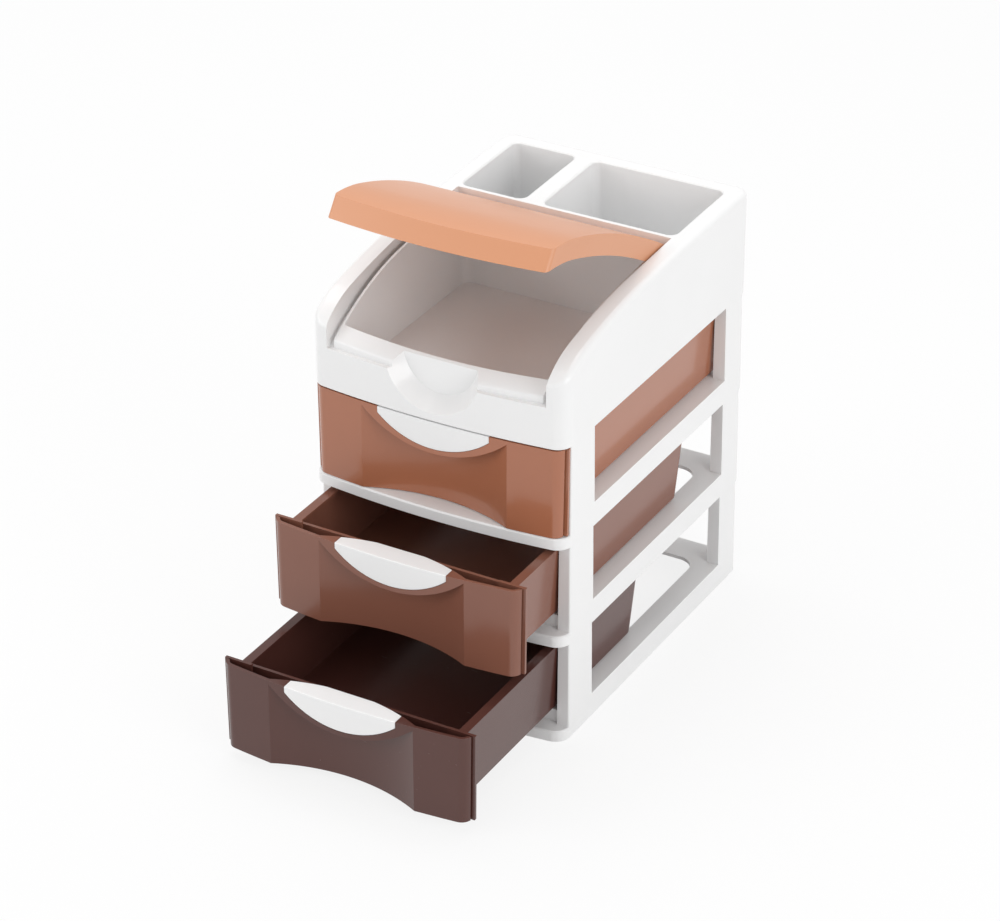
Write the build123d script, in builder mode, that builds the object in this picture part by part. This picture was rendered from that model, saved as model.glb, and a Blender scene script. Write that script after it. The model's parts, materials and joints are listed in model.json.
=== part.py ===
from build123d import *
from math import atan, cos, degrees, radians, sin
import os

# ---------------------------------------------------------------------------
# Desk organizer: three stacked open tiers, each with one drawer, and a tray
# with a hinged lid on top.  Millimetres, +Z up, the front looks along -Y.
# The origin is on the table, under the middle of the width, 1.9 mm in front
# of the middle of the depth.
# ---------------------------------------------------------------------------

# overall
body_width = 175.0  # across the foot of a tier
body_rear = 125.2  # rear face
body_front = -121.5  # middle of the bowed front
front_bow = 650.0  # radius of the bow, seen from above
tier_count = 3
tier_pitch = 68.3  # height of one tier

# tiers
tier_wall = 2.4
tier_lean = 0.8  # how far a side leans in over one tier
upright_lean = 4.0  # degrees; edges that lean less count as upright
rear_corner = 9.0
nose_corner = 10.0
post_corner = 1.2
nose_height = 7.5
nose_edge = 0.9
plate_top = 16.1  # drawers slide on this
post_width = 8.5
post_setback = 13.5  # from the middle of the bow to the posts
front_post = 29.4  # depth of a front post
rear_post = 29.9
plate_setback = 5.0  # from the posts to the step down to the nose
plate_margin = 13.4  # from the rear face to the step down to the low rear edge
hole_side = 15.0  # margins round the cut-out of the plate
hole_near = 18.0
hole_far = 18.8
hole_corner = 12.0
plug_height = 3.0  # tongue on a post that the next tier sits over
plug_gap = 0.3

# drawers
slide_gap = 0.3  # running clearance of a drawer
drawer_open = [110.6, 51.0, 0.0]  # lowest drawer first, as it stands here
tub_wall = 2.0
tub_side_gap = 0.8  # between the rim of a box and the posts
tub_side_lean = 2.0
tub_rear_gap = 10.9  # between the rim of a box and the rear face
tub_rear_lean = 6.8
tub_setback = 1.8  # from the posts to the wall behind the front
tub_roof_gap = 4.3  # between the rim and the next tier
tub_corner = 8.0
tub_belly = 2.2  # bevel round the floor
rim_width = 6.0
rim_depth = 2.0
ear_overlap = 8.2  # of an ear over the foot of the box
ear_inset = 1.5  # from the side of the tier
ear_spread = 0.6
ear_wall = 2.0

# drawer fronts
front_low = 8.0  # above the foot of the tier
front_gap = 1.0  # under the next tier
front_inset = 3.5  # from the side of the tier
front_spread = 0.8
front_wall = 2.2
front_corner = 7.0
front_clear = 3.3  # from the posts to the open back of a front
crease_half = 50.0  # where the flat ends meet the hollow
hollow_setback = 12.9  # from the bow to the deepest line of the hollow
smile_drop = 21.3  # lowest point of the arc above the hollow, from the top
smile_ends = 2.3
rib_inset = 10.0
rib_wall = 2.0
rib_low = 14.0
rib_drop = 7.3

# handles
grip_half = 38.3
grip_drop = 18.3
grip_ends = 4.3
grip_plate = 2.0
grip_gap = 0.15
grip_edge = 0.6

# tray
tray_step = 0.3  # its sides stand in from the foot of the tier below
tray_wall = 2.4
tray_tall = 85.1  # more than the height of the crest
crest_round = 4.0
side_width = 12.4  # of a side wall beside the lid
kerb_gap = 3.3  # channel for the edge of the lid
kerb_wall = 1.7  # thin kerb inside the lid's edge
kerb_setback = 3.2
kerb_cut = 12.5  # the kerb is cut lower this far in front of the ridge
kerb_cut_height = 57.6
pocket_rear = 39.5  # front face of the ridge behind the lid
groove_height = 27.1  # heights in the tray are above its foot
groove_depth = 7.9
channel_depth = 16.4  # below the crest
bin_setback = 13.1
bin_front_corner = 1.5
bin_rear_corner = 6.0
bin_height = 4.1
ridge_wall = 3.5
cell_rear_wall = 12.2
cell_side_wall = 12.2
cell_corner = 5.5
rim_edge = 0.9  # bevel of the rims of the cells and of the front lip
divider_left = -30.0
divider_right = -17.0
scoop_wall = 1.8  # between the finger hollow and the bin
scoop_outer = 33.4  # radius at the face of the tray
scoop_inner = 25.2
scoop_height = 38.1
side_core_skin = 4.6  # inner skin of the hollow side walls
side_core_cover = 3.2  # outer skin
side_core_sink = 4.0
side_core_setback = 17.5

# lid
hinge_setback = 6.0  # in front of the ridge
hinge_height = 62.7
hinge_radius = 4.0
lid_open = 30.6  # degrees, as it stands here
lid_gap = 1.0  # beside the lid
lid_wall = 1.6
lid_sink = 1.0  # the closed lid lies this far under the crest
lid_flange = 13.4
lid_overhang = 7.5  # its top line runs out over the front by this
lid_nose_height = 38.1
lid_slope = -0.02  # of that line at the hinge
lid_reach = 32.0  # of the bow of its front beyond that of the body, before the lean
lid_lean = 6.0  # degrees that its front flange leans
lid_corner = 3.0
flange_start = 4.5  # in front of the hinge
pin_radius = 2.5
pin_reach = 2.9
pin_gap = 0.05

# worked out from the above: across
big = 400.0  # longer than anything here, for cuts that go right through
half = body_width / 2
tier_angle = degrees(atan(tier_lean / tier_pitch))
post_inner = half - post_width
hole_half = half - hole_side
tub_half_top = post_inner - tub_side_gap
tub_half_low = tub_half_top - tub_side_lean
ear_inner = tub_half_low - ear_overlap
ear_half_low = half - ear_inset
ear_half_top = ear_half_low + ear_spread
front_half_low = half - front_inset
front_half_top = front_half_low + front_spread
rib_place = front_half_low - rib_inset
tray_half = half - tray_step
pocket_half = tray_half - side_width
kerb_half = pocket_half - kerb_gap
bin_half = kerb_half - kerb_wall
cell_half = tray_half - cell_side_wall
side_core_inner = pocket_half + side_core_skin
side_core_outer = tray_half - side_core_cover
lid_half = pocket_half - lid_gap

# from front to rear
post_front = body_front + post_setback
window_front = post_front + front_post
window_rear = body_rear - rear_post
plate_front = post_front + plate_setback
plate_rear = body_rear - plate_margin
hole_front = plate_front + hole_near
hole_rear = plate_rear - hole_far
tub_front = post_front + tub_setback
tub_rear_top = body_rear - tub_rear_gap
tub_rear_low = tub_rear_top - tub_rear_lean
front_back = post_front - front_clear
rib_reach = post_front - slide_gap - ear_wall
rib_front = body_front + (rib_place + rib_wall) ** 2 / (2 * front_bow) + front_wall / 2
hollow_middle = body_front + hollow_setback
crease_y = body_front + crease_half**2 / (2 * front_bow)
hollow_depth = hollow_middle - crease_y
recess_radius = (crease_half**2 + hollow_depth**2) / (2 * hollow_depth)
recess_centre = hollow_middle - recess_radius
kerb_rear = pocket_rear - kerb_cut
groove_rear = body_front + groove_depth
bin_front = body_front + bin_setback
cell_front = pocket_rear + ridge_wall
cell_rear = body_rear - cell_rear_wall
scoop_back = bin_front - scoop_wall
side_core_front = body_front + side_core_setback
hinge_y = pocket_rear - hinge_setback
flange_rear = hinge_y - flange_start
lid_front = body_front - lid_reach

# upwards: in one tier, above its foot
tub_top = tier_pitch - tub_roof_gap
front_top = tier_pitch - front_gap
smile_low = front_top - smile_drop
smile_high = front_top - smile_ends
rib_high = front_top - rib_drop
grip_low = front_top - grip_drop
grip_high = front_top - grip_ends

# upwards: in the tray
tray_foot = tier_count * tier_pitch
tray_ceiling = tray_foot + tray_tall
kerb_rear_z = tray_foot + kerb_cut_height
groove_z = tray_foot + groove_height
bin_floor = tray_foot + bin_height
scoop_z = tray_foot + scoop_height
hinge_z = tray_foot + hinge_height
lid_nose = (body_front - lid_overhang, tray_foot + lid_nose_height)

# side view of the crest of the tray walls, from the rear: (y, z)
crest_sides = [(body_rear, 70.7), (-10.0, 67.4), (body_front + 31.5, 56.6),
               (body_front + 9.5, 46.4), (body_front + 1.5, 36.1)]
crest = [(y, tray_foot + rise) for y, rise in crest_sides]
# side view of the kerb that the lid closes over, from the rear: (y, z)
kerb_sides = [(pocket_rear, 64.7), (-37.0, 59.9), (body_front + 34.5, 47.1), (body_front - 1.5, 26.1)]
kerb_line = [(y, tray_foot + rise) for y, rise in kerb_sides]
kerb_slope = 0.02

os.makedirs("parts", exist_ok=True)


def bowed_outline(half_width, front, rear, front_radius, rear_radius):
    """A plan with a bowed front edge, straight sides and rounded corners."""
    side = front + half_width**2 / (2 * front_bow)
    with BuildSketch() as plan:
        with BuildLine():
            ThreePointArc((-half_width, side), (0, front), (half_width, side))
            Polyline((half_width, side), (half_width, rear), (-half_width, rear), (-half_width, side))
        make_face()
        if front_radius > 0:
            fillet(plan.vertices().group_by(Axis.Y)[0], front_radius)
        if rear_radius > 0:
            fillet(plan.vertices().group_by(Axis.Y)[-1], rear_radius)
    return plan.sketch


def round_box(left, right, front, rear, front_radius, rear_radius):
    """A rectangle by its four sides, with its own radius front and rear."""
    with BuildSketch() as plan:
        with Locations(((left + right) / 2, (front + rear) / 2)):
            Rectangle(right - left, rear - front)
        if front_radius > 0:
            fillet(plan.vertices().group_by(Axis.Y)[0], front_radius)
        if rear_radius > 0:
            fillet(plan.vertices().group_by(Axis.Y)[-1], rear_radius)
    return plan.sketch


def make_nose(foot):
    """The low bowed slab along the front of a tier, bevelled along its upper edge."""
    with BuildPart() as nose:
        with BuildSketch(Plane.XY.offset(foot)):
            add(bowed_outline(half, body_front, plate_front, nose_corner, 0))
        extrude(amount=nose_height)
        rim = nose.faces().sort_by(Axis.Z)[-1].edges()
        chamfer(rim.sort_by(Axis.Y)[:-1], nose_edge)
    return nose.part


def make_tier(index):
    """One open tier: nose, plate with a cut-out, four hollow posts."""
    foot = index * tier_pitch
    with BuildPart() as tier:
        with BuildSketch(Plane.XY.offset(foot)):
            add(round_box(-half, half, post_front, body_rear, 0, rear_corner))
        extrude(amount=tier_pitch, taper=tier_angle)
        uprights = tier.edges().filter_by(lambda e: abs(e.tangent_at(0).Z) > cos(radians(upright_lean)))
        fillet(uprights.group_by(Axis.Y)[0], post_corner)
        # the way of the drawer, and a window in each side
        with BuildSketch(Plane.XY.offset(foot + plate_top)):
            add(round_box(-post_inner, post_inner, -big, big, 0, 0))
            add(round_box(-big, big, window_front, window_rear, 0, 0))
        extrude(amount=tier_pitch, mode=Mode.SUBTRACT)
        # the steps from the plate down to the nose and to the low rear edge
        with BuildSketch(Plane.XY.offset(foot + nose_height)):
            add(round_box(-post_inner, post_inner, -big, plate_front - tier_wall, 0, 0))
            add(round_box(-post_inner, post_inner, plate_rear + tier_wall, big, 0, 0))
        extrude(amount=tier_pitch, mode=Mode.SUBTRACT)
        add(make_nose(foot))
        # hollow underside
        with BuildSketch(Plane.XY.offset(foot)):
            add(bowed_outline(half - tier_wall, body_front + tier_wall, body_rear - tier_wall,
                              nose_corner - tier_wall, rear_corner - tier_wall))
        extrude(amount=nose_height - tier_wall, mode=Mode.SUBTRACT)
        with BuildSketch(Plane.XY.offset(foot)):
            add(round_box(-half + tier_wall, half - tier_wall, plate_front, plate_rear, 0, 0))
        extrude(amount=plate_top - tier_wall, mode=Mode.SUBTRACT)
        with BuildSketch(Plane.XY.offset(foot)):
            add(round_box(-hole_half, hole_half, hole_front, hole_rear, hole_corner, hole_corner))
        extrude(amount=plate_top, mode=Mode.SUBTRACT)
        # hollow posts, open below
        core_inner = post_inner + tier_wall
        core_outer = half - tier_lean - tier_wall
        core_spans = ((post_front + tier_wall, window_front - tier_wall),
                      (window_rear + tier_wall, body_rear - tier_wall))
        with BuildSketch(Plane.XY.offset(foot)):
            for near, far in core_spans:
                add(round_box(core_inner, core_outer, near, far, 0, 0))
                add(round_box(-core_outer, -core_inner, near, far, 0, 0))
        extrude(amount=tier_pitch - tier_wall, mode=Mode.SUBTRACT)
        # tongues on the posts, inside the foot of what stands on them
        plug_outer = half - tier_wall - plug_gap
        with BuildSketch(Plane.XY.offset(foot + tier_pitch)):
            for near, far in core_spans:
                add(round_box(core_inner, core_outer, near + plug_gap, far - rear_corner / 2, 0, 0))
                add(round_box(-core_outer, -core_inner, near + plug_gap, far - rear_corner / 2, 0, 0))
        extrude(amount=plug_height)
    return tier


def tub_block(inset, low, high, near, corner, belly):
    """The leaning outline of a drawer's box as a solid, drawn in by an inset."""
    with BuildPart() as block:
        with BuildSketch(Plane.XZ.offset(-near)):
            with BuildLine():
                Polyline((-tub_half_low + inset, low), (tub_half_low - inset, low),
                         (tub_half_top - inset, high), (-tub_half_top + inset, high), close=True)
            make_face()
        extrude(amount=-big)
        with BuildSketch(Plane.YZ.offset(-half)):
            with BuildLine():
                Polyline((near, low), (tub_rear_low - inset, low), (tub_rear_top - inset, high),
                         (near, high), close=True)
            make_face()
        extrude(amount=2 * half, mode=Mode.INTERSECT)
        fillet(block.edges().filter_by(Axis.X, reverse=True).filter_by(Axis.Y, reverse=True).group_by(Axis.Y)[-1],
               corner)
        if belly > 0:
            floor = block.faces().sort_by(Axis.Z)[0]
            chamfer(floor.edges().sort_by(Axis.Y)[1:], belly)
    return block.part


def make_tub(index):
    """The box of one drawer, with a broad rim and an ear behind each end of its front."""
    foot = index * tier_pitch
    shift = -drawer_open[index]
    low = foot + plate_top + slide_gap
    top = foot + tub_top
    ear_back = post_front - slide_gap
    with BuildPart() as tub:
        add(tub_block(0, low, top, ear_back, tub_corner, tub_belly).moved(Location((0, shift, 0))))
        inside = tub_block(tub_wall, low + tub_wall, top - rim_depth, tub_front + tub_wall,
                           tub_corner - tub_wall, 0)
        add(inside.moved(Location((0, shift, 0))), mode=Mode.SUBTRACT)
        # the mouth inside the rim
        with BuildSketch(Plane.XY.offset(top - rim_depth)):
            add(round_box(-tub_half_top + rim_width, tub_half_top - rim_width, tub_front + tub_wall + shift,
                          tub_rear_top - rim_width + shift, 0, tub_corner / 2))
        extrude(amount=rim_depth, mode=Mode.SUBTRACT)
        # the slot behind the front
        with BuildSketch(Plane.XY.offset(low)):
            add(round_box(-tub_half_low + tub_wall, tub_half_low - tub_wall, -big, tub_front + shift, 0, 0))
        extrude(amount=tub_top, mode=Mode.SUBTRACT)
        # ears
        with BuildSketch(Plane.XZ.offset(-(ear_back + shift))):
            with BuildLine():
                Polyline((ear_inner, foot + front_low), (ear_half_low, foot + front_low),
                         (ear_half_top, foot + front_top), (ear_inner, foot + front_top), close=True)
            make_face()
            mirror(about=Plane.YZ)
        extrude(amount=ear_wall)
    return tub


def recess_ring(inner, outer, shift):
    """The plan of a band that follows the hollow of a drawer front."""
    with BuildSketch() as ring:
        with Locations((0, recess_centre + shift)):
            Circle(outer)
            Circle(inner, mode=Mode.SUBTRACT)
        with Locations((0, recess_centre + recess_radius + shift)):
            Rectangle(2 * crease_half, recess_radius, mode=Mode.INTERSECT)
    return ring.sketch


def arc_window(half_width, low, high, roof):
    """The front view of an opening with an arched lower edge and a straight top."""
    with BuildSketch() as view:
        with BuildLine():
            ThreePointArc((-half_width, high), (0, low), (half_width, high))
            Polyline((half_width, high), (half_width, roof), (-half_width, roof), (-half_width, high))
        make_face()
    return view.sketch


def make_front(index):
    """One drawer front: a thin moulded skin with a hollow below an arc."""
    foot = index * tier_pitch
    shift = -drawer_open[index]
    low = foot + front_low
    top = foot + front_top
    near = body_front + shift
    back = front_back + shift
    deep = back + 2 * front_corner
    skin = front_wall
    with BuildPart() as panel:
        with BuildSketch(Plane.XY.offset(low)):
            add(bowed_outline(front_half_low, near, deep, front_corner, 0))
        with BuildSketch(Plane.XY.offset(top)):
            add(bowed_outline(front_half_top, near, deep, front_corner, 0))
        loft()
        with BuildSketch(Plane.XY.offset(low)):
            add(bowed_outline(front_half_low - skin, near + skin, deep + skin, front_corner - skin, 0))
        with BuildSketch(Plane.XY.offset(top)):
            add(bowed_outline(front_half_top - skin, near + skin, deep + skin, front_corner - skin, 0))
        loft(mode=Mode.SUBTRACT)
        with BuildSketch(Plane.XY.offset(foot)):
            add(round_box(-big, big, back, big, 0, 0))
        extrude(amount=tier_pitch, mode=Mode.SUBTRACT)
        # below the arc the skin gives way to the hollow
        with BuildSketch(Plane.XZ.offset(-back)):
            with BuildLine():
                ThreePointArc((-crease_half, foot + smile_high), (0, foot + smile_low),
                              (crease_half, foot + smile_high))
                Polyline((crease_half, foot + smile_high), (crease_half, foot - front_low),
                         (-crease_half, foot - front_low), (-crease_half, foot + smile_high))
            make_face()
        extrude(amount=big, mode=Mode.SUBTRACT)
        # the place of the handle
        with BuildSketch(Plane.XZ.offset(-back)):
            add(arc_window(grip_half + grip_gap, foot + grip_low - grip_gap, foot + grip_high, foot + tier_pitch))
        extrude(amount=big, mode=Mode.SUBTRACT)
        # the wall of the hollow
        with BuildSketch(Plane.XY.offset(low)):
            add(recess_ring(recess_radius, recess_radius + skin, shift))
            add(bowed_outline(front_half_low, near, deep, 0, 0), mode=Mode.INTERSECT)
        extrude(amount=front_top - front_low - grip_plate)
        # the two top plates beside the handle
        with BuildSketch(Plane.XY.offset(top - grip_plate)):
            add(bowed_outline(crease_half, near, deep, 0, 0))
            with Locations((0, recess_centre + shift)):
                Circle(recess_radius + skin, mode=Mode.INTERSECT)
            with Locations((0, near)):
                Rectangle(2 * (grip_half + grip_gap), big, mode=Mode.SUBTRACT)
        extrude(amount=grip_plate)
        # ribs that stand on the ears of the box
        with BuildSketch(Plane.XY.offset(foot + rib_low)):
            for side in (-1, 1):
                with Locations((side * rib_place, (rib_front + rib_reach) / 2 + shift)):
                    Rectangle(rib_wall, rib_reach - rib_front)
        extrude(amount=rib_high - rib_low)
    return panel


def make_handle(index):
    """The light insert of a drawer front: a hanging lip under a lens-shaped top."""
    foot = index * tier_pitch
    shift = -drawer_open[index]
    near = body_front + shift
    top = foot + front_top
    with BuildPart() as grip:
        with BuildSketch(Plane.XY.offset(foot + grip_low)):
            add(bowed_outline(grip_half, near, near + front_corner, 0, 0))
            add(bowed_outline(grip_half + grip_edge, near + front_wall, near + front_corner + grip_edge, 0, 0),
                mode=Mode.SUBTRACT)
        extrude(amount=front_top - grip_low)
        with BuildSketch(Plane.XZ.offset(-near - big / 2)):
            add(arc_window(grip_half, foot + grip_low, foot + grip_high, foot + tier_pitch))
        extrude(amount=big, mode=Mode.INTERSECT)
        with BuildSketch(Plane.XY.offset(top - grip_plate)):
            add(bowed_outline(grip_half, near, near + front_corner * 2, 0, 0))
            with Locations((0, recess_centre + shift)):
                Circle(recess_radius + front_wall, mode=Mode.INTERSECT)
        extrude(amount=grip_plate)
    return grip


def lowered(line, drop):
    """The points of a side view, each moved down."""
    return [(y, z - drop) for y, z in line]


def smooth_line(points, slope):
    """A chain of arcs through the points, each tangent to the one before."""
    heading = (-1, -slope)
    with BuildLine() as chain:
        for start, end in zip(points, points[1:]):
            arc = TangentArc(start, end, tangent=heading)
            heading = arc % 1
    return chain.line


def above(points, slope):
    """A side view of everything above a smooth line."""
    with BuildSketch() as view:
        with BuildLine():
            add(smooth_line(points, slope))
            Polyline(points[-1], (points[-1][0], tray_ceiling), (points[0][0], tray_ceiling), points[0])
        make_face()
    return view.sketch


def tray_block(inset):
    """The full outline of the tray as a solid, drawn in by an inset."""
    with BuildPart() as block:
        with BuildSketch(Plane.XY.offset(tray_foot)):
            add(bowed_outline(tray_half - inset, body_front + inset, body_rear - inset,
                              nose_corner - inset, rear_corner - inset))
        extrude(amount=tray_ceiling - tray_foot)
    return block.part


def scoop_cone(grow):
    """The tapering finger hollow in the front of the tray."""
    depth = scoop_back - body_front
    with BuildPart() as cone:
        mouth = Plane(origin=(0, body_front - tray_wall, scoop_z), x_dir=(1, 0, 0), z_dir=(0, 1, 0))
        with BuildSketch(mouth):
            Circle(scoop_outer + grow + tray_wall * (scoop_outer - scoop_inner) / depth)
        extrude(amount=depth + tray_wall + grow,
                taper=degrees(atan((scoop_outer - scoop_inner) / depth)))
    return cone.part


def tray_wells(grow):
    """The plan of the big bin under the lid and of the two cells behind it."""
    with BuildSketch() as wells:
        add(bowed_outline(bin_half + grow, bin_front - grow, pocket_rear + grow,
                          bin_front_corner, bin_rear_corner))
        add(round_box(-cell_half - grow, divider_left + grow, cell_front - grow, cell_rear + grow,
                      cell_corner, cell_corner))
        add(round_box(divider_right - grow, cell_half + grow, cell_front - grow, cell_rear + grow,
                      cell_corner, cell_corner))
    return wells.sketch


with BuildPart() as core:
    # the hollow between the outer walls and the wells, open below
    add(tray_block(tray_wall))
    core_line = lowered(crest[:-2], channel_depth + tray_wall) + [(groove_rear, groove_z - tray_wall)]
    with BuildSketch(Plane.YZ.offset(-half)):
        add(above(core_line + [(crest[-1][0], groove_z - 2 * tray_wall)], 0))
    extrude(amount=2 * half, mode=Mode.SUBTRACT)
    with BuildSketch(Plane.XY.offset(bin_floor - tray_wall)):
        add(tray_wells(tray_wall))
    extrude(amount=big, mode=Mode.SUBTRACT)
    add(scoop_cone(tray_wall), mode=Mode.SUBTRACT)

with BuildPart() as side_core:
    # narrower hollows that reach up inside the two side walls
    side_depth = channel_depth + 2 * tray_wall
    with BuildSketch(Plane.YZ.offset(side_core_inner)):
        add(above(lowered(crest, side_depth), 0))
        add(above(lowered(crest, side_core_sink), 0), mode=Mode.SUBTRACT)
        with Locations(((side_core_front + cell_rear - cell_corner) / 2, tray_ceiling)):
            Rectangle(cell_rear - cell_corner - side_core_front, big, mode=Mode.INTERSECT)
    extrude(amount=side_core_outer - side_core_inner)
    mirror(about=Plane.YZ)

with BuildPart() as tray:
    add(tray_block(0))
    with BuildSketch(Plane.YZ.offset(-half)):
        add(above(crest, 0))
        with Locations((crest[-1][0] - big / 2, tray_ceiling)):
            Rectangle(big, 2 * (tray_ceiling - crest[-1][1]))
    extrude(amount=2 * half, mode=Mode.SUBTRACT)
    # the place of the lid, over a kerb that slopes down to the front
    with BuildSketch(Plane.YZ.offset(-pocket_half)):
        add(above(kerb_line, kerb_slope))
    extrude(amount=2 * pocket_half, mode=Mode.SUBTRACT)
    # one long side edge of the crest: the rounding runs on round the rear to the other front corner
    outer_rim = tray.edges().filter_by(lambda e: abs(e.center().X) > kerb_half and e.center().Z > groove_z)
    fillet(outer_rim.sort_by(SortBy.LENGTH)[-1], crest_round)
    # the ridge in front of the cells, the wells, and the kerb cut lower under the hinge
    with BuildSketch(Plane.XY.offset(bin_floor)):
        add(tray_wells(0))
    extrude(amount=big, mode=Mode.SUBTRACT)
    with BuildSketch(Plane.XY.offset(kerb_rear_z)):
        add(round_box(-pocket_half, pocket_half, kerb_rear, pocket_rear, 0, 0))
    extrude(amount=big, mode=Mode.SUBTRACT)
    # the channels for the lid's side edges
    for side in (-1, 1):
        with BuildSketch(Plane.YZ.offset(side * (kerb_half + pocket_half) / 2)):
            add(above(lowered(crest[:-2], channel_depth) + [(groove_rear, groove_z)], 0))
            with Locations((pocket_rear + big / 2, tray_ceiling)):
                Rectangle(big, big, mode=Mode.SUBTRACT)
        extrude(amount=(pocket_half - kerb_half) / 2, both=True, mode=Mode.SUBTRACT)
    # the groove under the front lip
    with BuildSketch(Plane.XY.offset(groove_z)):
        add(round_box(-pocket_half, pocket_half, -big, groove_rear, 0, 0))
        add(bowed_outline(kerb_half, body_front + kerb_setback, bin_front, 0, 0), mode=Mode.SUBTRACT)
    extrude(amount=big, mode=Mode.SUBTRACT)
    # bevels along the front lip and round the mouths of the two cells
    lip_front = tray.edges().filter_by(lambda e: abs(e.center().Y - body_front - kerb_setback) < kerb_setback)
    lip_top = lip_front.filter_by(lambda e: e.center().Z > groove_z + rim_edge and e.length > kerb_half)
    chamfer(lip_top, rim_edge)
    mouths = tray.edges().filter_by(lambda e: e.center().Z > hinge_z and abs(e.center().X) < cell_half + rim_edge)
    chamfer(mouths.filter_by(lambda e: pocket_rear + rim_edge < e.center().Y < cell_rear + rim_edge), rim_edge)
    # the finger hollow
    add(scoop_cone(0), mode=Mode.SUBTRACT)
    # holes for the pins of the lid
    for side in (-1, 1):
        with BuildSketch(Plane.YZ.offset(side * kerb_half)):
            with Locations((hinge_y, hinge_z)):
                Circle(pin_radius + pin_gap)
        extrude(amount=side * (lid_half + pin_reach + 2 * plug_gap - kerb_half), mode=Mode.SUBTRACT)
    add(core.part, mode=Mode.SUBTRACT)
    add(side_core.part, mode=Mode.SUBTRACT)
tray.part.label = "tray"
export_step(tray.part, "parts/tray.step")

lid_line = [(hinge_y, hinge_z + hinge_radius)] + lowered(crest[1:3], lid_sink) + [lid_nose]
lean_plane = Plane(origin=(0, hinge_y, hinge_z), x_dir=(1, 0, 0),
                   z_dir=(0, sin(radians(lid_lean)), cos(radians(lid_lean))))

with BuildPart() as lid_core:
    # the room under the lid's skin, curled round the hinge line
    curl = hinge_radius - lid_wall
    with BuildSketch(Plane.YZ.offset(-lid_half + lid_wall)):
        with BuildLine():
            add(smooth_line(lowered(lid_line, lid_wall), lid_slope))
            ThreePointArc((hinge_y, hinge_z + curl), (hinge_y + curl, hinge_z), (hinge_y, hinge_z - curl))
            Polyline((hinge_y, hinge_z - curl), (hinge_y, tray_foot), (lid_nose[0], tray_foot),
                     (lid_nose[0], lid_nose[1] - lid_wall))
        make_face()
    extrude(amount=2 * (lid_half - lid_wall))
    with BuildSketch(lean_plane.offset(-big)):
        add(bowed_outline(2 * half, lid_front + lid_wall, big, 0, 0))
    extrude(amount=2 * big, mode=Mode.INTERSECT)

with BuildPart() as lid_closed:
    edge_line = [(flange_rear, hinge_z + hinge_radius - lid_flange)] + lowered(lid_line[1:], lid_flange)
    with BuildSketch(Plane.YZ.offset(-lid_half)):
        with BuildLine():
            add(smooth_line(lid_line, lid_slope))
            ThreePointArc(lid_line[0], (hinge_y + hinge_radius, hinge_z), (hinge_y, hinge_z - hinge_radius))
            Line((hinge_y, hinge_z - hinge_radius), edge_line[0])
            add(smooth_line(edge_line, lid_slope))
            Line(edge_line[-1], lid_nose)
        make_face()
    extrude(amount=2 * lid_half)
    with BuildSketch(lean_plane.offset(-big)):
        add(bowed_outline(lid_half, lid_front, big, lid_corner, 0))
    extrude(amount=2 * big, mode=Mode.INTERSECT)
    add(lid_core.part, mode=Mode.SUBTRACT)
    for side in (-1, 1):
        with BuildSketch(Plane.YZ.offset(side * (lid_half - lid_wall))):
            with Locations((hinge_y, hinge_z)):
                Circle(hinge_radius)
        extrude(amount=side * lid_wall)
        with BuildSketch(Plane.YZ.offset(side * lid_half)):
            with Locations((hinge_y, hinge_z)):
                Circle(pin_radius)
        extrude(amount=side * pin_reach)

with BuildPart() as lid:
    add(lid_closed.part.rotate(Axis((0, hinge_y, hinge_z), (1, 0, 0)), -lid_open))
lid.part.label = "lid"
export_step(lid.part, "parts/lid.step")

for index in range(tier_count):
    tier = make_tier(index)
    tier.part.label = f"tier_{index + 1}"
    export_step(tier.part, f"parts/tier_{index + 1}.step")
    tub = make_tub(index)
    tub.part.label = f"drawer_box_{index + 1}"
    export_step(tub.part, f"parts/drawer_box_{index + 1}.step")
    panel = make_front(index)
    panel.part.label = f"drawer_front_{index + 1}"
    export_step(panel.part, f"parts/drawer_front_{index + 1}.step")
    grip = make_handle(index)
    grip.part.label = f"drawer_handle_{index + 1}"
    export_step(grip.part, f"parts/drawer_handle_{index + 1}.step")
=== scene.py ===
"""Looks of a desk organizer: three stacked tiers with drawers, and a tray with a lid.

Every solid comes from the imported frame.  Each one is copied, its sharp moulded
edges are rounded, and it gets the finish of the plastic it is made of.
"""
import json
import logging
import math
from dataclasses import dataclass, field
from enum import Enum
from typing import Union

import bpy
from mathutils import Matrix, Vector
from mathutils.bvhtree import BVHTree

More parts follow.
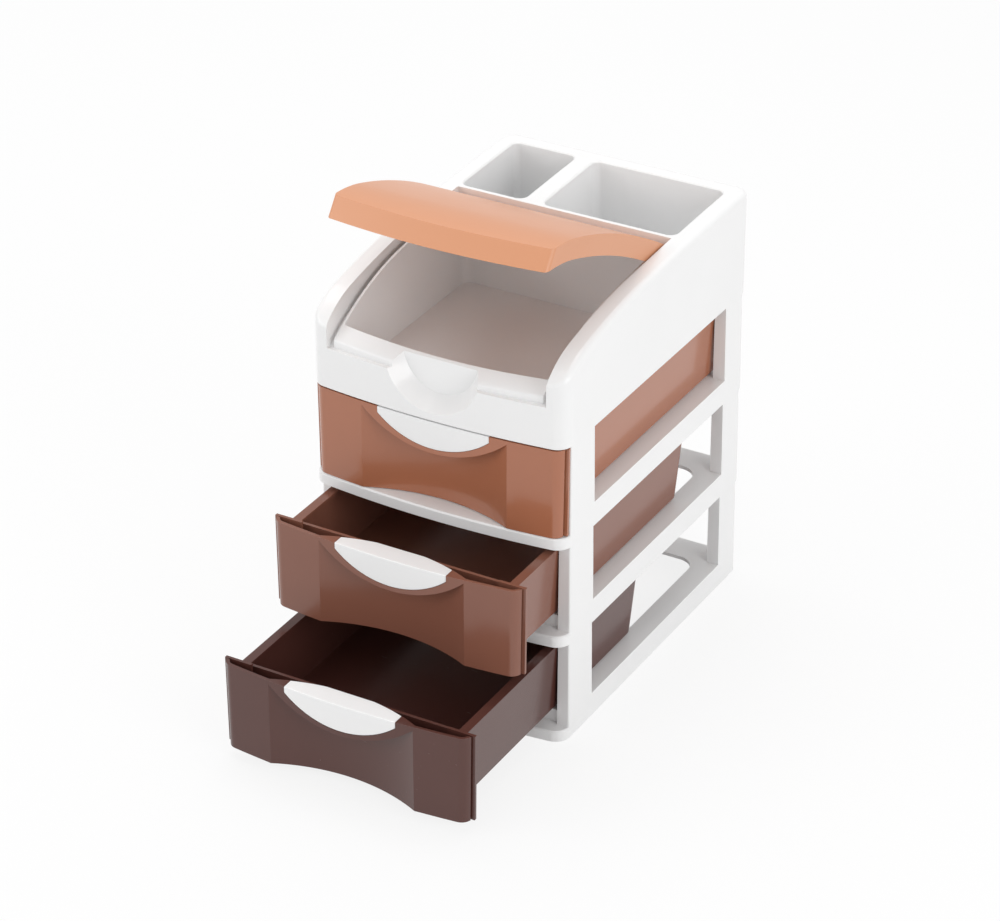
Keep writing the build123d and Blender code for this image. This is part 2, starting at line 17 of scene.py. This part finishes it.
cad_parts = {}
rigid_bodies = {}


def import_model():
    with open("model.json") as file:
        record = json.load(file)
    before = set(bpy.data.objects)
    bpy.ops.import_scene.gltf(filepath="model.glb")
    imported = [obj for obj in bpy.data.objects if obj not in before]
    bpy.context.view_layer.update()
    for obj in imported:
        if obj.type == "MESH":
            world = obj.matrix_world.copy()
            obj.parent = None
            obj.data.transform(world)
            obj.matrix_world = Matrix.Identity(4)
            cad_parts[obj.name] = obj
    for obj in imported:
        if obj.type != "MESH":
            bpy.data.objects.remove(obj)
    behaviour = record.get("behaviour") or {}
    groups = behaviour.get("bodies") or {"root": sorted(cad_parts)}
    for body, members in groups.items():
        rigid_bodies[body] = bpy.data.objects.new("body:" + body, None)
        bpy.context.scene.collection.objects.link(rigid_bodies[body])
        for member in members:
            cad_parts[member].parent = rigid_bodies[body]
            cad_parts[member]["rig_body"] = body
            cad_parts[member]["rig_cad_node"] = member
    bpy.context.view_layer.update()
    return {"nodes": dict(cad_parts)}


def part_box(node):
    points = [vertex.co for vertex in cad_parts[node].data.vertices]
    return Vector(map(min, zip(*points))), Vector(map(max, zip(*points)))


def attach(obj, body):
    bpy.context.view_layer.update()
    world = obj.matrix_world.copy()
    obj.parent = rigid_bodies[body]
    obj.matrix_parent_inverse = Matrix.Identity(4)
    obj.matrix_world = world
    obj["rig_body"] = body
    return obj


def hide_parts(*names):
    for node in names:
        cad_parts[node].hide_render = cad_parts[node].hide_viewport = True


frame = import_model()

log = logging.getLogger("organizer")

MILLIMETRE = 0.001
Colour = tuple[float, float, float]
Point = tuple[float, float, float]
WHITE = (1.0, 1.0, 1.0, 1.0)
FINE_EDGE = 0.12  # radius of the edges of the large mouldings, in millimetres
# the colour sockets of a Mix node, which has sockets of the same name for each kind of data
FIRST_COLOUR, SECOND_COLOUR, MIXED_COLOUR = 6, 7, 2


def linear(red: float, green: float, blue: float) -> Colour:
    """Turn a colour as seen on a screen into the linear one that shaders use.

    Args:
        red: Red as displayed, from 0 to 1.
        green: Green as displayed, from 0 to 1.
        blue: Blue as displayed, from 0 to 1.

    Returns:
        The same colour in linear light.
    """
    knee, slope, offset, power = 0.04045, 12.92, 0.055, 2.4
    return tuple(
        c / slope if c <= knee else ((c + offset) / (1 + offset)) ** power
        for c in (red, green, blue)
    )


class Number:
    """A number on a shader socket; arithmetic on it adds Math nodes."""

    def __init__(self, graph: "Graph", socket: bpy.types.NodeSocket) -> None:
        """Wrap a socket.

        Args:
            graph: The graph that the socket belongs to.
            socket: The output socket that carries the number.
        """
        self.graph = graph
        self.socket = socket

    def _math(self, operation: str, first: "Term", second: "Term") -> "Number":
        """Add one Math node.

        Args:
            operation: The node's operation.
            first: Its first operand.
            second: Its second operand.

        Returns:
            The number that comes out.
        """
        node = self.graph.node("ShaderNodeMath", {"operation": operation},
                               {0: first, 1: second})
        return Number(self.graph, node.outputs[0])

    def __add__(self, other: "Term") -> "Number":
        """Return self + other."""
        return self._math("ADD", self, other)

    def __radd__(self, other: "Term") -> "Number":
        """Return other + self."""
        return self._math("ADD", other, self)

    def __sub__(self, other: "Term") -> "Number":
        """Return self - other."""
        return self._math("SUBTRACT", self, other)

    def __mul__(self, other: "Term") -> "Number":
        """Return self * other."""
        return self._math("MULTIPLY", self, other)


Term = Union[Number, float]


class Graph:
    """A node tree that is built by calls."""

    def __init__(self, owner: Union[bpy.types.Material, bpy.types.World]) -> None:
        """Start from an empty tree.

        Args:
            owner: The material or world whose nodes are built.
        """
        owner.use_nodes = True
        self.tree = owner.node_tree
        self.tree.nodes.clear()

    def node(self, kind: str, settings: dict | None = None,
             values: dict | None = None) -> bpy.types.Node:
        """Add any node.

        Args:
            kind: The node's type name.
            settings: Its own properties, which are set first.
            values: Numbers, colours, sockets or Numbers by input name or place.

        Returns:
            The new node.
        """
        made = self.tree.nodes.new(kind)
        for key, value in (settings or {}).items():
            setattr(made, key, value)
        for key, value in (values or {}).items():
            if isinstance(value, Number):
                value = value.socket
            if isinstance(value, bpy.types.NodeSocket):
                self.tree.links.new(value, made.inputs[key])
            else:
                made.inputs[key].default_value = value
        return made

    def number(self, kind: str, output: str, settings: dict | None = None,
               values: dict | None = None) -> Number:
        """Add a node and take one of its outputs as a number.

        Args:
            kind: The node's type name.
            output: The name of the output.
            settings: Its own properties.
            values: The values or links of its inputs.

        Returns:
            That output as a number.
        """
        return Number(self, self.node(kind, settings, values).outputs[output])


@dataclass(frozen=True)
class MouldedPlastic:
    """Glossy injection-moulded plastic, with its grain, flow marks and light scuffs.

    Attributes:
        name: The material's name.
        colour: Its displayed colour.
        flow_colour: The displayed colour that it drifts to along the flow of the melt.
        roughness: Its gloss; lower is glossier.
        scuff: How much the faint rub marks add to the roughness.
        peel: Height of the fine ripple of the skin, in millimetres.
        flow_scale: Flow marks per metre.
        peel_scale: Ripples per metre.
        scuff_stretch: Rub marks per metre along each turned axis.
        scuff_turn: How the rub marks are turned, in radians.
        scuff_ramp: The noise values where a rub mark starts and where it is full.
        coat: Weight of the clear skin.
        coat_roughness: Gloss of the clear skin; lower is glossier.
        flow_detail: Octaves of the flow marks.
        flow_distortion: How much the flow marks swirl.
        flow_gloss: How much the roughness follows the flow marks.
        flow_middle: The noise value at which the flow marks leave the roughness alone.
        peel_detail: Octaves of the ripple.
        peel_roughness: How strong the ripple's finer octaves are.
        scuff_detail: Octaves of the rub marks.
        scuff_roughness: How strong the rub marks' finer octaves are.
        ior: Index of refraction.
    """

    name: str
    colour: Colour
    flow_colour: Colour
    roughness: float
    scuff: float = 0.07
    peel: float = 0.012
    flow_scale: float = 11.0
    peel_scale: float = 420.0
    scuff_stretch: Point = (60.0, 900.0, 320.0)
    scuff_turn: Point = (0.3, 0.15, 0.7)
    scuff_ramp: tuple[float, float] = (0.54, 0.78)
    coat: float = 0.25
    coat_roughness: float = 0.06
    flow_detail: float = 3.0
    flow_distortion: float = 1.2
    flow_gloss: float = 0.08
    flow_middle: float = 0.5
    peel_detail: float = 2.0
    peel_roughness: float = 0.4
    scuff_detail: float = 4.0
    scuff_roughness: float = 0.65
    ior: float = 1.5

    def build(self) -> bpy.types.Material:
        """Make the material.

        Returns:
            The new material.
        """
        material = bpy.data.materials.new(self.name)
        graph = Graph(material)
        place = graph.node("ShaderNodeTexCoord").outputs["Object"]
        flow = graph.number("ShaderNodeTexNoise", "Fac", None,
                            {"Vector": place, "Scale": self.flow_scale,
                             "Detail": self.flow_detail, "Distortion": self.flow_distortion})
        peel = graph.number("ShaderNodeTexNoise", "Fac", None,
                            {"Vector": place, "Scale": self.peel_scale,
                             "Detail": self.peel_detail, "Roughness": self.peel_roughness})
        turned = graph.node("ShaderNodeMapping", None,
                            {"Vector": place, "Rotation": self.scuff_turn,
                             "Scale": self.scuff_stretch})
        streak = graph.number("ShaderNodeTexNoise", "Fac", None,
                              {"Vector": turned.outputs["Vector"], "Scale": 1.0,
                               "Detail": self.scuff_detail, "Roughness": self.scuff_roughness})
        low, high = self.scuff_ramp
        scuffed = graph.number("ShaderNodeMapRange", "Result", None,
                               {"Value": streak, "From Min": low, "From Max": high})
        colour = graph.node("ShaderNodeMix", {"data_type": "RGBA"}, {"Factor": flow})
        colour.inputs[FIRST_COLOUR].default_value = (*linear(*self.colour), 1.0)
        colour.inputs[SECOND_COLOUR].default_value = (*linear(*self.flow_colour), 1.0)
        roughness = (self.roughness + (flow - self.flow_middle) * self.flow_gloss
                     + scuffed * self.scuff)
        bump = graph.node("ShaderNodeBump", None,
                          {"Strength": 1.0, "Distance": self.peel * MILLIMETRE,
                           "Height": peel})
        shader = graph.node("ShaderNodeBsdfPrincipled", None,
                            {"Base Color": colour.outputs[MIXED_COLOUR], "Roughness": roughness,
                             "Normal": bump.outputs["Normal"], "Coat Weight": self.coat,
                             "Coat Roughness": self.coat_roughness, "IOR": self.ior})
        graph.node("ShaderNodeOutputMaterial", None, {"Surface": shader.outputs[0]})
        return material


class Tone(Enum):
    """The plastics of the organizer, each kept with the name of the record's material slot that
    it stands for.
    """

    SHELL = ("white_shell", MouldedPlastic(
        "white_plastic", (0.93, 0.93, 0.93), (0.915, 0.915, 0.915), 0.30))
    LID = ("lid_copper", MouldedPlastic(
        "lid_plastic", (0.84, 0.595, 0.45), (0.82, 0.575, 0.43), 0.34, coat=0.0))
    COPPER = ("drawer_copper", MouldedPlastic(
        "copper_plastic", (0.66, 0.42, 0.31), (0.64, 0.40, 0.29), 0.20))
    MID = ("drawer_mid", MouldedPlastic(
        "brown_plastic", (0.52, 0.34, 0.275), (0.50, 0.32, 0.26), 0.20, coat=0.0))
    DARK = ("drawer_dark", MouldedPlastic(
        "dark_plastic", (0.335, 0.20, 0.175), (0.315, 0.185, 0.16), 0.22, coat=0.0))

    def __init__(self, slot: str, finish: MouldedPlastic) -> None:
        """Keep the slot and the finish.

        Args:
            slot: The record's material slot.
            finish: The plastic.
        """
        self.slot = slot
        self.finish = finish


class Palette:
    """The materials, each made once."""

    def __init__(self) -> None:
        """Start with no material made."""
        self.made: dict[Tone, bpy.types.Material] = {}

    def __getitem__(self, tone: Tone) -> bpy.types.Material:
        """Return the material of a tone, making it when it is first asked for."""
        if tone not in self.made:
            self.made[tone] = tone.finish.build()
        return self.made[tone]


@dataclass
class Moulding:
    """One moulded piece: the CAD solid's shape with rounded edges.

    Attributes:
        node: The CAD node that it stands for.
        body: The CAD body that it moves with.
        tone: Its plastic.
        edge: Radius of its rounded edges, in millimetres.
        corner: Edges that turn by more than this are rounded, in degrees.
        crease: Edges that turn by more than this are shaded as creases, in degrees.
        merge: Corners nearer to each other than this are one, in millimetres.
        flat: Faces that turn by less than this are redrawn as one, in degrees.
        stray: How far a rounded corner may leave the solid, as a share of the radius.
        segments: Faces across a rounded edge.
        profile: Shape of a rounded edge; a half is a circular arc.
    """

    node: str
    body: str
    tone: Tone
    edge: float
    corner: float = 35.0
    crease: float = 24.0
    merge: float = 0.002
    flat: float = 0.4
    stray: float = 0.6
    segments: int = 2
    profile: float = 0.5

    def build(self, palette: Palette) -> bpy.types.Object:
        """Copy the solid, round its edges and dress it.

        Args:
            palette: Where its material comes from.

        Returns:
            The finished piece.
        """
        bpy.ops.object.select_all(action="DESELECT")
        source = frame["nodes"][self.node]
        source.select_set(True)
        bpy.context.view_layer.objects.active = source
        bpy.ops.object.duplicate()
        piece = bpy.context.view_layer.objects.active
        piece.name = f"{self.node}_moulding"
        piece.data.name = piece.name
        piece.parent = None
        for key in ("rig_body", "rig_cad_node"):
            if key in piece:
                del piece[key]
        self._round_edges(piece)
        piece.data.materials.clear()
        piece.data.materials.append(palette[self.tone])
        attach(piece, self.body)
        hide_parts(self.node)
        log.info("%s: %d faces on %s", piece.name, len(piece.data.polygons), self.body)
        return piece

    def _round_edges(self, piece: bpy.types.Object) -> None:
        """Merge the loose triangles, redraw those that lie flat and round the sharp edges.

        The flat faces are split again before the rounding, because a face that wraps
        round a hole can be filled wrongly and close it.

        Args:
            piece: The copy of the solid, which is the active object.
        """
        surface = BVHTree.FromPolygons([corner.co.copy() for corner in piece.data.vertices],
                                       [tuple(face.vertices) for face in piece.data.polygons])
        bpy.ops.object.mode_set(mode="EDIT")
        bpy.ops.mesh.select_mode(type="EDGE")
        bpy.ops.mesh.select_all(action="SELECT")
        bpy.ops.mesh.remove_doubles(threshold=self.merge * MILLIMETRE)
        bpy.ops.mesh.dissolve_limited(angle_limit=math.radians(self.flat))
        bpy.ops.mesh.select_all(action="SELECT")
        bpy.ops.mesh.quads_convert_to_tris(quad_method="BEAUTY", ngon_method="BEAUTY")
        bpy.ops.mesh.select_all(action="DESELECT")
        bpy.ops.mesh.edges_select_sharp(sharpness=math.radians(self.corner))
        bpy.ops.mesh.bevel(offset=self.edge * MILLIMETRE, segments=self.segments,
                           profile=self.profile, affect="EDGES", clamp_overlap=False,
                           miter_outer="ARC")
        bpy.ops.mesh.select_all(action="DESELECT")
        bpy.ops.object.mode_set(mode="OBJECT")
        self._settle(piece, surface)
        bpy.ops.object.shade_smooth_by_angle(angle=math.radians(self.crease))
        bpy.ops.object.modifier_add(type="WEIGHTED_NORMAL")
        even = piece.modifiers[-1]
        even.keep_sharp = True
        bpy.ops.object.modifier_apply(modifier=even.name)

    def _settle(self, piece: bpy.types.Object, surface: BVHTree) -> None:
        """Bring corners that the rounding threw off the solid back onto it and into its box.

        Args:
            piece: The rounded piece.
            surface: The surface of the solid before the rounding.
        """
        reach = self.stray * self.edge * MILLIMETRE
        low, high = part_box(self.node)
        for corner in piece.data.vertices:
            nearest, _, _, gap = surface.find_nearest(corner.co)
            if gap > reach:
                corner.co = nearest
            corner.co = [min(max(value, bottom), top)
                         for value, bottom, top in zip(corner.co, low, high)]


@dataclass
class Assembly:
    """A sub-assembly: some mouldings on one body.

    Attributes:
        body: The CAD body that carries it.
        pieces: Its mouldings, filled in by each kind of sub-assembly.
    """

    body: str
    pieces: list[Moulding] = field(default_factory=list)

    def build(self, palette: Palette) -> list[bpy.types.Object]:
        """Build every moulding.

        Args:
            palette: Where the materials come from.

        Returns:
            The finished pieces.
        """
        return [piece.build(palette) for piece in self.pieces]


@dataclass
class Carcass(Assembly):
    """The white stack: open tiers with the tray on top.

    Attributes:
        tiers: How many tiers there are.
        edge: Radius of the edges, in millimetres.
    """

    body: str = "body"
    tiers: int = 3
    edge: float = FINE_EDGE

    def __post_init__(self) -> None:
        """List the tiers and the tray."""
        self.pieces = [Moulding(f"tier_{n + 1}", self.body, Tone.SHELL, self.edge)
                       for n in range(self.tiers)]
        self.pieces.append(Moulding("tray", self.body, Tone.SHELL, self.edge))


@dataclass
class Drawer(Assembly):
    """One drawer: its box, its coloured front and the white handle in the front.

    Attributes:
        number: Its place in the stack, from the bottom.
        tone: The plastic of the box and the front.
        edge: Radius of their edges, in millimetres.
        handle_edge: Radius of the handle's edges, in millimetres.
    """

    body: str = ""
    number: int = 1
    tone: Tone = Tone.COPPER
    edge: float = FINE_EDGE
    handle_edge: float = 0.5

    def __post_init__(self) -> None:
        """List the three mouldings."""
        self.body = f"drawer_{self.number}"
        self.pieces = [
            Moulding(f"drawer_box_{self.number}", self.body, self.tone, self.edge),
            Moulding(f"drawer_front_{self.number}", self.body, self.tone, self.edge),
            Moulding(f"drawer_handle_{self.number}", self.body, Tone.SHELL, self.handle_edge),
        ]


@dataclass
class Lid(Assembly):
    """The hinged lid of the tray.

    Attributes:
        edge: Radius of its edges, in millimetres.
    """

    body: str = "lid"
    edge: float = FINE_EDGE

    def __post_init__(self) -> None:
        """List the one moulding."""
        self.pieces = [Moulding("lid", self.body, Tone.LID, self.edge)]


@dataclass(frozen=True)
class Lamp:
    """A soft rectangular lamp that points at the object.

    Attributes:
        name: The lamp's name.
        place: Where it hangs, in metres.
        size: Its width and height, in metres.
        power: Its power, in watts.
        aim: The point it looks at, in metres.
    """

    name: str
    place: Point
    size: tuple[float, float]
    power: float
    aim: Point = (0.0, 0.0, 0.13)

    def build(self) -> bpy.types.Object:
        """Hang the lamp.

        Returns:
            The lamp.
        """
        data = bpy.data.lights.new(self.name, "AREA")
        data.shape = "RECTANGLE"
        data.size, data.size_y = self.size
        data.energy = self.power
        lamp = bpy.data.objects.new(self.name, data)
        bpy.context.scene.collection.objects.link(lamp)
        lamp.location = self.place
        lamp.rotation_mode = "QUATERNION"
        toward = Vector(self.aim) - Vector(self.place)
        lamp.rotation_quaternion = toward.to_track_quat("-Z", "Y")
        return lamp


@dataclass
class Studio:
    """A plain pale floor, soft light, and the camera at the photograph's point of view.

    Attributes:
        floor_size: Side of the square floor, in metres.
        floor_colour: How pale the floor is as a surface.
        floor_lift: How far the camera and reflections see the floor lifted to white.
        sky: Strength of the even light of the room.
        sensor: Width of the camera's sensor, in millimetres.
        focal: Focal length, in sensor widths.
        azimuth: Where the camera stands, in degrees from the front to the right.
        elevation: How far it looks down, in degrees.
        distance: How far it is from the target, in metres.
        target: The point it looks at, in metres.
        view_depth: How far it sees, in sides of the floor.
        lamps: The lamps.
    """

    floor_size: float = 14.0
    floor_colour: float = 0.8
    floor_lift: float = 0.84
    sky: float = 0.66
    sensor: float = 36.0
    focal: float = 3.5634
    azimuth: float = 29.576
    elevation: float = 29.745
    distance: float = 2.2546
    target: Point = (-0.02228, 0.0, 0.1112)
    view_depth: float = 4.0
    lamps: tuple[Lamp, ...] = (
        Lamp("overhead", (-0.45, 0.45, 2.2), (1.8, 1.8), 24.0),
        Lamp("left", (-1.7, -1.5, 1.0), (1.2, 1.2), 13.0),
        Lamp("right", (1.9, -0.7, 0.9), (1.2, 1.2), 15.0),
    )

    def build(self) -> None:
        """Set up the floor, the world, the lamps and the camera."""
        self._floor()
        self._world()
        for lamp in self.lamps:
            lamp.build()
        self._camera()
        bpy.context.scene.view_settings.view_transform = "Standard"

    def _floor(self) -> None:
        """Lay the floor: pale for light, nearly white to the camera and in reflections."""
        bpy.ops.object.select_all(action="DESELECT")
        bpy.ops.mesh.primitive_plane_add(size=self.floor_size)
        floor = bpy.context.object
        floor.name = "floor"
        material = bpy.data.materials.new("paper")
        graph = Graph(material)
        rays = graph.node("ShaderNodeLightPath")
        seen = graph.number("ShaderNodeMath", "Value", {"operation": "MAXIMUM"},
                            {0: rays.outputs["Is Camera Ray"], 1: rays.outputs["Is Glossy Ray"]})
        paper = graph.node("ShaderNodeBsdfDiffuse", None,
                           {"Color": (self.floor_colour,) * 3 + (1.0,)})
        glow = graph.node("ShaderNodeEmission", None, {"Color": WHITE, "Strength": 1.0})
        mixed = graph.node("ShaderNodeMixShader", None,
                           {0: seen * self.floor_lift, 1: paper.outputs[0], 2: glow.outputs[0]})
        graph.node("ShaderNodeOutputMaterial", None, {"Surface": mixed.outputs[0]})
        floor.data.materials.append(material)

    def _world(self) -> None:
        """Fill the room with even light; the camera sees it white."""
        world = bpy.data.worlds.new("room")
        bpy.context.scene.world = world
        graph = Graph(world)
        rays = graph.node("ShaderNodeLightPath")
        seen = Number(graph, rays.outputs["Is Camera Ray"])
        light = graph.node("ShaderNodeBackground", None,
                           {"Color": WHITE, "Strength": self.sky + seen * (1 - self.sky)})
        graph.node("ShaderNodeOutputWorld", None, {"Surface": light.outputs[0]})

    def _camera(self) -> None:
        """Place the camera as the photograph shows the object."""
        data = bpy.data.cameras.new("camera")
        data.sensor_width = self.sensor
        data.lens = self.focal * self.sensor
        data.clip_end = self.view_depth * self.floor_size
        camera = bpy.data.objects.new("camera", data)
        bpy.context.scene.collection.objects.link(camera)
        turn, tilt = math.radians(self.azimuth), math.radians(self.elevation)
        back = Vector((math.sin(turn) * math.cos(tilt), -math.cos(turn) * math.cos(tilt),
                       math.sin(tilt)))
        camera.location = Vector(self.target) + back * self.distance
        camera.rotation_mode = "QUATERNION"
        camera.rotation_quaternion = (-back).to_track_quat("-Z", "Y")
        bpy.context.scene.camera = camera


def main() -> None:
    """Build the organizer and the studio round it."""
    logging.basicConfig(level=logging.INFO, format="%(name)s: %(message)s")
    palette = Palette()
    tones = (Tone.DARK, Tone.MID, Tone.COPPER)
    assemblies: list[Assembly] = [Carcass()]
    assemblies += [Drawer(number=n + 1, tone=tone) for n, tone in enumerate(tones)]
    assemblies.append(Lid())
    for assembly in assemblies:
        made = assembly.build(palette)
        log.info("%s: %d pieces", type(assembly).__name__, len(made))
    Studio().build()


if __name__ == "__main__":
    main()
